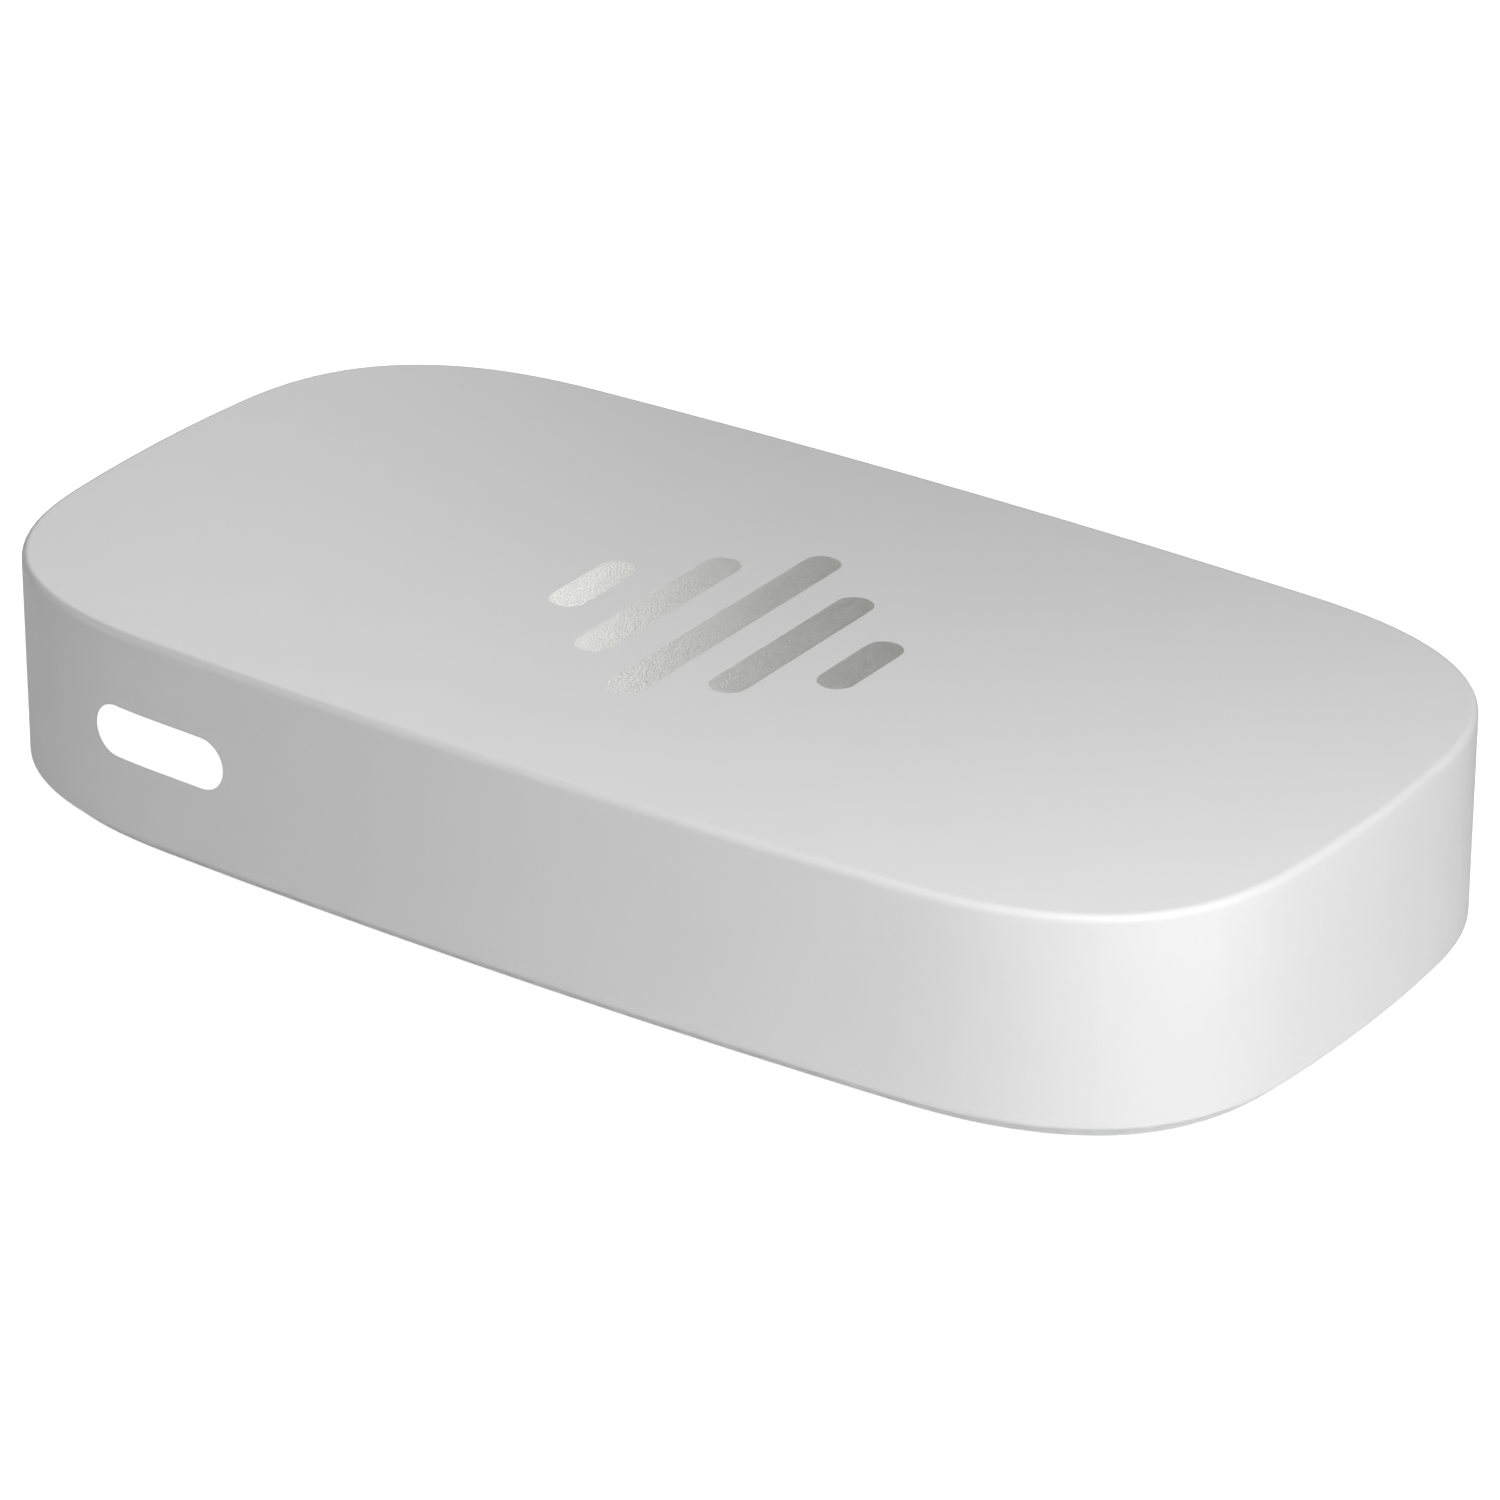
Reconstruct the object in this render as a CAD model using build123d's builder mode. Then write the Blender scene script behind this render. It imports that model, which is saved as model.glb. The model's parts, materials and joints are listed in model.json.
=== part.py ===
from build123d import *
import os
from math import cos, radians, sin, sqrt

# Bluetooth audio receiver: a low white box for a desk or shelf. It has a lit window on its
# front, its sockets and pairing button on its back, and a silicone pad for it to stand on.
#
# Frame: millimetres, +Z up. The origin is the middle of the footprint, on the surface that
# the receiver stands on. +X runs along its length, -Y is the front, +Y the back.

# ---------------------------------------------------------------- driving dimensions
LENGTH = 110.0
WIDTH = 58.0
TOP_Z = 18.2          # top face
SHELL_Z = 1.4         # lower edge of the housing
BASE_Z = 0.4          # underside of the base cover, and how far the foot pad stands proud
WALL = 2.0            # housing wall and roof
TOP_EDGE = 0.6        # radius of the housing's top edge
LOWER_EDGE = 0.4      # radius of its lower edge
BASE_INSET = 1.2      # base cover, inside the housing's outer wall
BASE_EDGE = 0.1       # chamfer of the base cover's lower edge
FIT = 0.1             # gap between mouldings that locate each other

# The body's plan is a chain of arcs that meet tangentially: a long side, the corner, a short
# side. Turns are in degrees, and a quarter of the plan turns through 90.
LONG_SIDE_TURN = 3.0
SHORT_SIDE_TURN = 5.0
CORNER_ARCS = [(45.0, 6.0), (28.0, 11.0), (20.0, 14.0), (15.7, 32.0), (18.5, 12.0), (30.0, 7.0)]

# Levels inside the housing
ROOF_Z = TOP_Z - WALL
FLOOR_Z = 2.0         # top of the base cover's floor
LIP_Z = 3.6           # top of the lip that locates it in the housing
BOARD_Z = 4.8         # underside of the main board
BOARD = 1.6           # thickness of the main board
DECK_Z = BOARD_Z + BOARD
BOARD_INSET = 4.4
BOARD_LEGS_Z = 4.0    # ends of the legs that pass through the board

# Lit window, in the front wall
WINDOW_X = -32.0
WINDOW_Z = 9.9
WINDOW_LENGTH = 12.6
WINDOW_HEIGHT = 4.15
WINDOW_FLANGE = 1.0

# Emblem on the roof: five upright bars, as of a sound level
EMBLEM_Y = -1.2
EMBLEM_DEPTH = 0.15
BAR_WIDTH = 3.0
BAR_PITCH = 6.0
BAR_LENGTHS = [9.0, 19.0, 28.0, 19.0, 9.0]

# Things on the back, from the right-hand end of the front view to the left
USB_X = 22.0
JACK_X = 6.0
OPTICAL_X = -10.0
BUTTON_X = -26.0

# Screws: plan positions, radius of the shank and of the head
HOUSING_SCREWS = [(42.0, 17.0), (42.0, -17.0), (-42.0, 17.0), (-42.0, -17.0)]
HOUSING_SHANK = 1.0
HOUSING_HEAD = 1.9
HOUSING_HEAD_HEIGHT = 1.2
BOARD_SCREWS = [(-35.0, 18.0), (35.0, 18.0), (32.0, -18.0), (-14.0, -20.0)]
BOARD_SHANK = 0.8
BOARD_HEAD = 1.5
BOARD_HEAD_HEIGHT = 1.0
HEAD_ROUND = 0.4      # rounding of a screw's head
SCREW_GAP = 0.15      # round a screw's shank and head in a clearance hole
THREAD_GAP = 0.02     # round a shank in the hole that its thread bites into

LOW = (Align.CENTER, Align.CENTER, Align.MIN)     # stands a primitive on its own base


# ---------------------------------------------------------------- shared geometry
def side_radii():
    """Radii of the long and the short side that let the corner arcs meet both."""
    across = LENGTH / 2
    along = WIDTH / 2
    heading = radians(LONG_SIDE_TURN)
    for radius, turn in CORNER_ARCS:
        turned = heading + radians(turn)
        across -= radius * (sin(turned) - sin(heading))
        along -= radius * (cos(heading) - cos(turned))
        heading = turned
    long_x = sin(radians(LONG_SIDE_TURN))
    long_y = 1 - cos(radians(LONG_SIDE_TURN))
    short_x = 1 - cos(radians(SHORT_SIDE_TURN))
    short_y = sin(radians(SHORT_SIDE_TURN))
    scale = long_x * short_y - long_y * short_x
    long_radius = (across * short_y - along * short_x) / scale
    short_radius = (along * long_x - across * long_y) / scale
    return long_radius, short_radius


LONG_RADIUS, SHORT_RADIUS = side_radii()


def body_outline(inset=0.0):
    """Plan of the body, with every side moved inwards by inset."""
    quarter = [(LONG_RADIUS, LONG_SIDE_TURN), *CORNER_ARCS, (SHORT_RADIUS, SHORT_SIDE_TURN)]
    with BuildSketch() as plan:
        with BuildLine():
            point = (0, inset - WIDTH / 2)
            heading = (1, 0)
            for radius, turn in (quarter + quarter[::-1]) * 2:
                arc = JernArc(point, heading, radius - inset, turn)
                point = arc @ 1
                heading = arc % 1
        make_face()
    return plan.sketch


def back_wall_y(x):
    """Where the back wall's outer face is, at a place along the long side."""
    return WIDTH / 2 - LONG_RADIUS + sqrt(LONG_RADIUS**2 - x**2)


def across(y):
    """Plane across the depth at y: local x is +X and local y is +Z. It faces the front, so a
    positive extrusion from it runs forwards and a negative one runs to the back."""
    return Plane.XZ.offset(-y)


def emblem_bars():
    """Plan of the emblem's five bars."""
    with BuildSketch() as bars:
        for index, length in enumerate(BAR_LENGTHS):
            x = (index - (len(BAR_LENGTHS) - 1) / 2) * BAR_PITCH
            with Locations((x, EMBLEM_Y)):
                SlotOverall(length, BAR_WIDTH, rotation=90)
    return bars.sketch


def save(builder, name):
    """Label a finished piece and write it to its own file."""
    builder.part.label = name
    export_step(builder.part, f"parts/{name}.step")


os.makedirs("parts", exist_ok=True)

# ---------------------------------------------------------------- housing
BOSS = 2.8            # radius of the bosses that the housing screws bite into
BOSS_Z = 3.3
SCREW_BITE = 7.0
BOSS_RIB_Z = 7.0      # the bosses' ribs stop above the board
BOSS_RIB_OUT = 1.24   # how far out a rib's middle is, against its boss's
ROOF_RIBS = 5
ROOF_RIB_PITCH = 14.0
ROOF_RIB_LENGTH = 34.0
ROOF_RIB_DEPTH = 1.0
RIB = 1.2             # thickness of every rib
OPENING_START = WIDTH / 2 - 5
RIM_EDGE = 0.25       # radius of the openings' outer edges

USB_Z = DECK_Z + 1.63
JACK_Z = DECK_Z + 3.0
BUTTON_Z = DECK_Z + 3.0
OPTICAL_WIDTH = 9.6
OPTICAL_HEIGHT = 9.4
OPTICAL_Z = DECK_Z + OPTICAL_HEIGHT / 2
OPTICAL_CORNER = 0.4  # radius
USB_OPENING = (9.5, 3.8)
JACK_NOSE = 2.8       # radius
BUTTON = 2.4          # radius
BUTTON_FLANGE = 3.3   # radius
BUTTON_GAP = 0.08
GUIDE_LENGTH = 2.4


def is_back_rim(edge):
    """Whether an edge of the housing is the outer rim of an opening in its back wall."""
    box = edge.bounding_box()
    on_outer_face = box.min.Y > WIDTH / 2 - WALL / 2
    between_edges = box.min.Z > SHELL_Z + TOP_EDGE and box.max.Z < TOP_Z - TOP_EDGE - RIM_EDGE
    return on_outer_face and between_edges


with BuildPart() as upper_housing:
    with BuildSketch(Plane.XY.offset(SHELL_Z)):
        add(body_outline())
    extrude(amount=TOP_Z - SHELL_Z)
    fillet(upper_housing.edges().group_by(Axis.Z)[-1], TOP_EDGE)
    fillet(upper_housing.edges().group_by(Axis.Z)[0], LOWER_EDGE)
    with BuildSketch(Plane.XY.offset(SHELL_Z)):
        add(body_outline(WALL))
    extrude(amount=ROOF_Z - SHELL_Z, mode=Mode.SUBTRACT)

    # Ribs under the roof, and bosses for the screws with a rib from each to the long wall
    with BuildSketch(Plane.XY.offset(ROOF_Z)):
        with Locations((0, -WALL)):
            with GridLocations(ROOF_RIB_PITCH, 1, ROOF_RIBS, 1):
                Rectangle(RIB, ROOF_RIB_LENGTH)
    extrude(amount=-ROOF_RIB_DEPTH)
    with BuildSketch(Plane.XY.offset(ROOF_Z)):
        for x, y in HOUSING_SCREWS:
            with Locations((x, y * BOSS_RIB_OUT)):
                Rectangle(RIB, 2 * BOSS)
    extrude(amount=BOSS_RIB_Z - ROOF_Z)
    with BuildSketch(Plane.XY.offset(BOSS_Z)):
        with Locations(*HOUSING_SCREWS):
            Circle(BOSS)
    extrude(amount=ROOF_Z - BOSS_Z)
    with BuildSketch(Plane.XY.offset(BOSS_Z)):
        with Locations(*HOUSING_SCREWS):
            Circle(HOUSING_SHANK + THREAD_GAP)
    extrude(amount=SCREW_BITE, mode=Mode.SUBTRACT)

    # Guide on the inside of the back wall that keeps the button's flange square
    with BuildSketch(across(OPENING_START + GUIDE_LENGTH + 1)):
        with Locations((BUTTON_X, BUTTON_Z)):
            Circle(BUTTON_FLANGE + FIT + RIB)
            Circle(BUTTON_FLANGE + FIT, mode=Mode.SUBTRACT)
    extrude(amount=GUIDE_LENGTH)

    # Openings: the window in the front wall, then the back wall's sockets and button
    with BuildSketch(across(-OPENING_START)):
        with Locations((WINDOW_X, WINDOW_Z)):
            SlotOverall(WINDOW_LENGTH, WINDOW_HEIGHT)
    extrude(amount=2 * (WIDTH / 2 - OPENING_START), mode=Mode.SUBTRACT)
    with BuildSketch(across(OPENING_START)):
        with Locations((USB_X, USB_Z)):
            SlotOverall(*USB_OPENING)
        with Locations((JACK_X, JACK_Z)):
            Circle(JACK_NOSE + FIT)
        with Locations((OPTICAL_X, OPTICAL_Z)):
            RectangleRounded(OPTICAL_WIDTH + 2 * FIT, OPTICAL_HEIGHT + 2 * FIT, OPTICAL_CORNER + FIT)
        with Locations((BUTTON_X, BUTTON_Z)):
            Circle(BUTTON + BUTTON_GAP)
    extrude(amount=-2 * (WIDTH / 2 - OPENING_START), mode=Mode.SUBTRACT)
    back_rims = upper_housing.edges().filter_by(is_back_rim)
    fillet(back_rims, RIM_EDGE)

    # Shallow seats for the emblem's bars
    with BuildSketch(Plane.XY.offset(TOP_Z)):
        add(emblem_bars())
    extrude(amount=-EMBLEM_DEPTH, mode=Mode.SUBTRACT)
save(upper_housing, "upper_housing")

with BuildPart() as emblem:
    with BuildSketch(Plane.XY.offset(TOP_Z)):
        add(emblem_bars())
    extrude(amount=-EMBLEM_DEPTH)
save(emblem, "emblem")

# ---------------------------------------------------------------- base cover and foot
LIP = 1.2             # thickness of the locating lip
PAD_INSET = 5.0
PAD_SEAT_Z = 1.0      # roof of the recess that the foot pad is glued into
PAD_EDGE = 0.25       # radius of the foot pad's lower edge
SCREW_PAD = 3.5       # radius of the thicker floor at each housing screw
SCREW_PAD_Z = 3.2
HEAD_SEAT_Z = 2.3
STANDOFF = 2.5        # radius of the board's standoffs
STANDOFF_DRILL_Z = 2.6

with BuildPart() as base_cover:
    with BuildSketch(Plane.XY.offset(BASE_Z)):
        add(body_outline(BASE_INSET))
    extrude(amount=SHELL_Z - BASE_Z)
    chamfer(base_cover.edges().group_by(Axis.Z)[0], BASE_EDGE)
    with BuildSketch(Plane.XY.offset(SHELL_Z)):
        add(body_outline(WALL + FIT))
    extrude(amount=LIP_Z - SHELL_Z)
    with BuildSketch(Plane.XY.offset(FLOOR_Z)):
        add(body_outline(WALL + FIT + LIP))
    extrude(amount=LIP_Z - FLOOR_Z, mode=Mode.SUBTRACT)
    with BuildSketch(Plane.XY.offset(FLOOR_Z)):
        with Locations(*HOUSING_SCREWS):
            Circle(SCREW_PAD)
    extrude(amount=SCREW_PAD_Z - FLOOR_Z)
    with BuildSketch(Plane.XY.offset(FLOOR_Z)):
        with Locations(*BOARD_SCREWS):
            Circle(STANDOFF)
    extrude(amount=BOARD_Z - FLOOR_Z)

    # Recess for the foot pad, with the screws' counterbored holes under it
    with BuildSketch(Plane.XY.offset(BASE_Z)):
        add(body_outline(PAD_INSET - FIT))
    extrude(amount=PAD_SEAT_Z - BASE_Z, mode=Mode.SUBTRACT)
    with BuildSketch(Plane.XY.offset(PAD_SEAT_Z)):
        with Locations(*HOUSING_SCREWS):
            Circle(HOUSING_HEAD + SCREW_GAP)
    extrude(amount=HEAD_SEAT_Z - PAD_SEAT_Z, mode=Mode.SUBTRACT)
    with BuildSketch(Plane.XY.offset(PAD_SEAT_Z)):
        with Locations(*HOUSING_SCREWS):
            Circle(HOUSING_SHANK + SCREW_GAP)
    extrude(amount=SCREW_PAD_Z - PAD_SEAT_Z, mode=Mode.SUBTRACT)
    with BuildSketch(Plane.XY.offset(STANDOFF_DRILL_Z)):
        with Locations(*BOARD_SCREWS):
            Circle(BOARD_SHANK + THREAD_GAP)
    extrude(amount=BOARD_Z - STANDOFF_DRILL_Z, mode=Mode.SUBTRACT)
save(base_cover, "base_cover")

with BuildPart() as foot_pad:
    with BuildSketch():
        add(body_outline(PAD_INSET))
    extrude(amount=PAD_SEAT_Z)
    fillet(foot_pad.edges().group_by(Axis.Z)[0], PAD_EDGE)
save(foot_pad, "foot_pad")

# ---------------------------------------------------------------- screws
RECESS = (2.0, 0.45)  # arms of the cross recess
RECESS_DEPTH = 0.6
SCREW_SPARE = 0.5     # hole left below a screw's tip
SCREW_POINT = 0.4     # chamfer of a housing screw's tip

with BuildPart() as housing_screws:
    with BuildSketch(Plane.XY.offset(HEAD_SEAT_Z)):
        with Locations(*HOUSING_SCREWS):
            Circle(HOUSING_HEAD)
    extrude(amount=-HOUSING_HEAD_HEIGHT)
    fillet(housing_screws.edges().group_by(Axis.Z)[0], HEAD_ROUND)
    with BuildSketch(Plane.XY.offset(HEAD_SEAT_Z)):
        with Locations(*HOUSING_SCREWS):
            Circle(HOUSING_SHANK)
    extrude(amount=SCREW_BITE + BOSS_Z - HEAD_SEAT_Z - SCREW_SPARE)
    chamfer(housing_screws.edges().group_by(Axis.Z)[-1], SCREW_POINT)
    with BuildSketch(Plane.XY.offset(HEAD_SEAT_Z - HOUSING_HEAD_HEIGHT)):
        with Locations(*HOUSING_SCREWS):
            Rectangle(*RECESS)
            Rectangle(*RECESS, rotation=90)
    extrude(amount=RECESS_DEPTH, mode=Mode.SUBTRACT)
save(housing_screws, "housing_screws")

with BuildPart() as board_screws:
    with BuildSketch(Plane.XY.offset(DECK_Z)):
        with Locations(*BOARD_SCREWS):
            Circle(BOARD_HEAD)
    extrude(amount=BOARD_HEAD_HEIGHT)
    fillet(board_screws.edges().group_by(Axis.Z)[-1], HEAD_ROUND)
    with BuildSketch(Plane.XY.offset(DECK_Z)):
        with Locations(*BOARD_SCREWS):
            Circle(BOARD_SHANK)
    extrude(amount=STANDOFF_DRILL_Z + SCREW_SPARE - DECK_Z)
    with BuildSketch(Plane.XY.offset(DECK_Z + BOARD_HEAD_HEIGHT)):
        with Locations(*BOARD_SCREWS):
            Rectangle(*RECESS)
            Rectangle(*RECESS, rotation=90)
    extrude(amount=-RECESS_DEPTH, mode=Mode.SUBTRACT)
save(board_screws, "board_screws")

# ---------------------------------------------------------------- main board
USB_WIDTH = 8.94
USB_LEGS = [(USB_X + side * USB_WIDTH / 2, y) for side in (-1, 1) for y in (21.8, 23.4)]
SWITCH = 6.0          # width and height of the push switch
SWITCH_BACK_Y = 22.8
SWITCH_DEPTH = 3.2
LEG = (0.3, 0.9)      # thickness and width of a sheet-metal leg
SWITCH_LEGS = [(BUTTON_X + side * (SWITCH + LEG[0]) / 2, 21.2) for side in (-1, 1)]
LEG_GAP = 0.1         # round a leg in its slot
BOSS_GAP = 0.3        # round a boss that passes through the board

with BuildPart() as main_board:
    with BuildSketch(Plane.XY.offset(BOARD_Z)):
        add(body_outline(BOARD_INSET))
        with Locations(*HOUSING_SCREWS):
            Circle(BOSS + BOSS_GAP, mode=Mode.SUBTRACT)
        with Locations(*BOARD_SCREWS):
            Circle(BOARD_SHANK + FIT, mode=Mode.SUBTRACT)
        with Locations(*USB_LEGS, *SWITCH_LEGS):
            Rectangle(LEG[0] + 2 * LEG_GAP, LEG[1] + 2 * LEG_GAP, mode=Mode.SUBTRACT)
    extrude(amount=BOARD)
save(main_board, "main_board")

# ---------------------------------------------------------------- lit window
GUIDE_WIDTH = 12.0
GUIDE_FRONT_Y = -24.2
GUIDE_BACK_Y = -19.4
GUIDE_LOW_Z = 7.9
GUIDE_TOP_Z = WINDOW_Z + WINDOW_HEIGHT / 2
GUIDE_HEEL = 0.4
SHROUD_WALL = 1.0
LED_Y = -21.5
LED_PITCH = 4.0
LED_BASE = (1.6, 1.2, 0.3)
LED_LENS = (1.2, 1.0, 0.8)

with BuildPart() as status_window:
    with BuildSketch(Plane.XY.offset(WINDOW_Z - WINDOW_HEIGHT)):
        add(body_outline())
        add(body_outline(WALL), mode=Mode.SUBTRACT)
        with Locations((WINDOW_X, -WIDTH / 2)):
            Rectangle(2 * WINDOW_LENGTH, WIDTH / 2, mode=Mode.INTERSECT)
    extrude(amount=2 * WINDOW_HEIGHT)
    with BuildSketch(across(-WIDTH / 4)):
        with Locations((WINDOW_X, WINDOW_Z)):
            SlotOverall(WINDOW_LENGTH, WINDOW_HEIGHT)
    extrude(amount=WIDTH / 2, mode=Mode.INTERSECT)
    with BuildSketch(Plane.XY.offset(WINDOW_Z - WINDOW_HEIGHT / 2 - WINDOW_FLANGE)):
        add(body_outline(WALL))
        add(body_outline(WALL + WINDOW_FLANGE), mode=Mode.SUBTRACT)
        with Locations((WINDOW_X, -WIDTH / 2)):
            Rectangle(WINDOW_LENGTH + 2 * WINDOW_FLANGE, WIDTH / 2, mode=Mode.INTERSECT)
    extrude(amount=WINDOW_HEIGHT + 2 * WINDOW_FLANGE)
save(status_window, "status_window")

with BuildPart() as light_guide:
    with BuildSketch(Plane.YZ.offset(WINDOW_X - GUIDE_WIDTH / 2)):
        with BuildLine():
            slope = GUIDE_TOP_Z - GUIDE_LOW_Z - GUIDE_HEEL
            Polyline(
                (GUIDE_FRONT_Y, GUIDE_LOW_Z),
                (GUIDE_BACK_Y, GUIDE_LOW_Z),
                (GUIDE_BACK_Y, GUIDE_LOW_Z + GUIDE_HEEL),
                (GUIDE_BACK_Y - slope, GUIDE_TOP_Z),
                (GUIDE_FRONT_Y, GUIDE_TOP_Z),
                close=True,
            )
        make_face()
    extrude(amount=GUIDE_WIDTH)
save(light_guide, "light_guide")

with BuildPart() as light_shroud:
    with BuildSketch(Plane.XY.offset(DECK_Z)):
        add(body_outline(WALL + WINDOW_FLANGE + FIT))
        with Locations((WINDOW_X, GUIDE_BACK_Y + FIT + SHROUD_WALL)):
            Rectangle(
                GUIDE_WIDTH + 2 * FIT + 2 * SHROUD_WALL,
                WIDTH / 4,
                align=(Align.CENTER, Align.MAX),
                mode=Mode.INTERSECT,
            )
    extrude(amount=GUIDE_TOP_Z + FIT + SHROUD_WALL - DECK_Z)
    with BuildSketch(Plane.XY.offset(DECK_Z)):
        with Locations((WINDOW_X, GUIDE_BACK_Y + FIT)):
            Rectangle(GUIDE_WIDTH + 2 * FIT, WIDTH / 4, align=(Align.CENTER, Align.MAX))
    extrude(amount=GUIDE_TOP_Z + FIT - DECK_Z, mode=Mode.SUBTRACT)
save(light_shroud, "light_shroud")

with BuildPart() as status_leds:
    with Locations((WINDOW_X, LED_Y, DECK_Z)):
        with GridLocations(LED_PITCH, 1, 3, 1):
            Box(*LED_BASE, align=LOW)
            Box(*LED_LENS, align=LOW)
save(status_leds, "status_leds")

# ---------------------------------------------------------------- radio module
MODULE_X = -36.0
MODULE_Y = -2.0
MODULE = (18.0, 13.0, 0.8)
MODULE_TOP_Z = DECK_Z + MODULE[2]
CAN = (11.0, 11.4, 1.7)
CAN_X = MODULE_X + 3.0
CAN_SHEET = 0.2
CAN_CORNER = 0.5      # radius
HALF_HOLE = 0.3       # radius of the module's plated half-holes
HALF_HOLES = 12       # along each long edge
HALF_HOLE_PITCH = 1.2
FOLDS = 8             # of the antenna's trace
FOLD_PITCH = 1.1
FOLD_LENGTH = 3.2
TRACE = (0.5, 0.05)   # width and thickness of the antenna's trace

with BuildPart() as bluetooth_module_board:
    with Locations((MODULE_X, MODULE_Y, DECK_Z)):
        Box(*MODULE, align=LOW)
        with Locations((0, MODULE[1] / 2, 0), (0, -MODULE[1] / 2, 0)):
            with GridLocations(HALF_HOLE_PITCH, 1, HALF_HOLES, 1):
                Cylinder(HALF_HOLE, MODULE[2], align=LOW, mode=Mode.SUBTRACT)
save(bluetooth_module_board, "bluetooth_module_board")

with BuildPart() as module_shield_can:
    with Locations((CAN_X, MODULE_Y, MODULE_TOP_Z)):
        Box(*CAN, align=LOW)
    fillet(module_shield_can.edges().filter_by(Axis.Z), CAN_CORNER)
    offset(
        amount=-CAN_SHEET,
        openings=module_shield_can.faces().sort_by(Axis.Z)[0],
    )
save(module_shield_can, "module_shield_can")

with BuildPart() as module_antenna:
    with BuildSketch(Plane.XY.offset(MODULE_TOP_Z)):
        with BuildLine():
            left = MODULE_X - MODULE[0] / 2 + 0.7
            right = left + FOLD_LENGTH
            points = [(right + 0.6, MODULE_Y - FOLDS / 2 * FOLD_PITCH)]
            for step in range(FOLDS):
                y = MODULE_Y + (step - FOLDS / 2) * FOLD_PITCH
                ends = (right, left) if step % 2 == 0 else (left, right)
                points += [(ends[0], y), (ends[1], y)]
            Polyline(*points)
        trace(line_width=TRACE[0])
    extrude(amount=TRACE[1])
save(module_antenna, "module_antenna")

# ---------------------------------------------------------------- chips and small components
DAC_AT = (-6.0, -2.0)
DAC = (7.0, 7.0, 0.85)
PIN_MARK = (0.35, 0.1)             # radius and depth of the dimple by a chip's first pin
DRIVER_AT = (6.0, 4.0)
DRIVER = (4.9, 3.9, 1.4)
DRIVER_PIN_PITCH = 1.27
# A pair of the driver's leads, as seen from the end: distance from its middle, and height
DRIVER_LEAD = [(3.0, 0.1), (2.4, 0.1), (2.2, 0.8)]
REGULATOR_AT = (28.0, 11.0)
REGULATOR = (6.5, 3.5, 1.6)
REGULATOR_TAB = (3.0, 1.8, 0.3)
REGULATOR_LEG = (0.7, 1.8, 0.3)
REGULATOR_PIN_PITCH = 2.3
REGULATOR_LEG_Y = 2.6              # middle of its tab or legs, from its own middle
INDUCTOR_AT = (37.0, 3.0)
INDUCTOR = (5.0, 5.0, 3.0)
CRYSTAL_AT = (-18.0, -4.0)
CRYSTAL_BASE = (3.2, 2.5, 0.5)
CRYSTAL_LID = (2.8, 2.1, 0.8)
BIG_CAPACITORS = [(6.0, -9.0), (14.0, -9.0), (15.0, 4.0), (28.0, -6.0)]
SMALL_CAPACITOR_ROWS = [(-6.0, -9.0, 4, 1), (-6.0, 5.0, 4, 1), (-22.5, 0.0, 1, 4), (22.0, 17.0, 3, 1)]
RESISTOR_ROWS = [(6.0, 10.0, 4, 2), (-32.0, -14.5, 3, 1), (0.0, -15.0, 5, 1)]
LEAD = (0.4, 0.2)                  # width and thickness of a chip's lead
CAPACITOR_BASE = (6.6, 6.6, 0.9)
CAPACITOR_CAN = (3.15, 7.2)        # radius and height
CAPACITOR_GROOVE = (3.3, 0.3, 1.6)  # radius round the can, radius of its section, height
CERAMIC = (1.6, 0.74, 0.74)
CERAMIC_END = (0.3, 0.8, 0.8)
RESISTOR = (1.6, 0.8, 0.4)
RESISTOR_END = (0.3, 0.84, 0.45)
END_X = 0.65                       # middle of a component's end cap, from its own middle

with BuildPart() as dac_chip:
    with Locations((*DAC_AT, DECK_Z)):
        Box(*DAC, align=LOW)
    chamfer(dac_chip.edges().group_by(Axis.Z)[-1], 0.1)
    with Locations((DAC_AT[0] - 2.6, DAC_AT[1] + 2.6, DECK_Z + DAC[2])):
        Cylinder(PIN_MARK[0], 2 * PIN_MARK[1], mode=Mode.SUBTRACT)
save(dac_chip, "dac_chip")

with BuildPart() as line_driver_chip:
    with Locations((*DRIVER_AT, DECK_Z + 0.15)):
        Box(*DRIVER, align=LOW)
    chamfer(line_driver_chip.edges().group_by(Axis.Z)[-1], 0.25)
    for column in range(4):
        lead_x = DRIVER_AT[0] + (column - 1.5) * DRIVER_PIN_PITCH - LEAD[0] / 2
        near = [(DRIVER_AT[1] - out, DECK_Z + up) for out, up in DRIVER_LEAD]
        far = [(DRIVER_AT[1] + out, DECK_Z + up) for out, up in DRIVER_LEAD[::-1]]
        with BuildSketch(Plane.YZ.offset(lead_x)):
            with BuildLine():
                Polyline(*near, *far)
            trace(line_width=LEAD[1])
        extrude(amount=LEAD[0])
save(line_driver_chip, "line_driver_chip")

with BuildPart() as power_regulator:
    with Locations((*REGULATOR_AT, DECK_Z)):
        Box(*REGULATOR, align=LOW)
        with Locations((0, REGULATOR_LEG_Y, 0)):
            Box(*REGULATOR_TAB, align=LOW)
        with Locations((0, -REGULATOR_LEG_Y, 0)):
            with GridLocations(REGULATOR_PIN_PITCH, 1, 3, 1):
                Box(*REGULATOR_LEG, align=LOW)
save(power_regulator, "power_regulator")

with BuildPart() as power_inductor:
    with Locations((*INDUCTOR_AT, DECK_Z)):
        Box(*INDUCTOR, align=LOW)
    fillet(power_inductor.edges().filter_by(Axis.Z), 0.8)
    fillet(power_inductor.edges().group_by(Axis.Z)[-1], 0.3)
save(power_inductor, "power_inductor")

with BuildPart() as crystal_oscillator:
    with Locations((*CRYSTAL_AT, DECK_Z)):
        Box(*CRYSTAL_BASE, align=LOW)
        Box(*CRYSTAL_LID, align=LOW)
save(crystal_oscillator, "crystal_oscillator")

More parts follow.
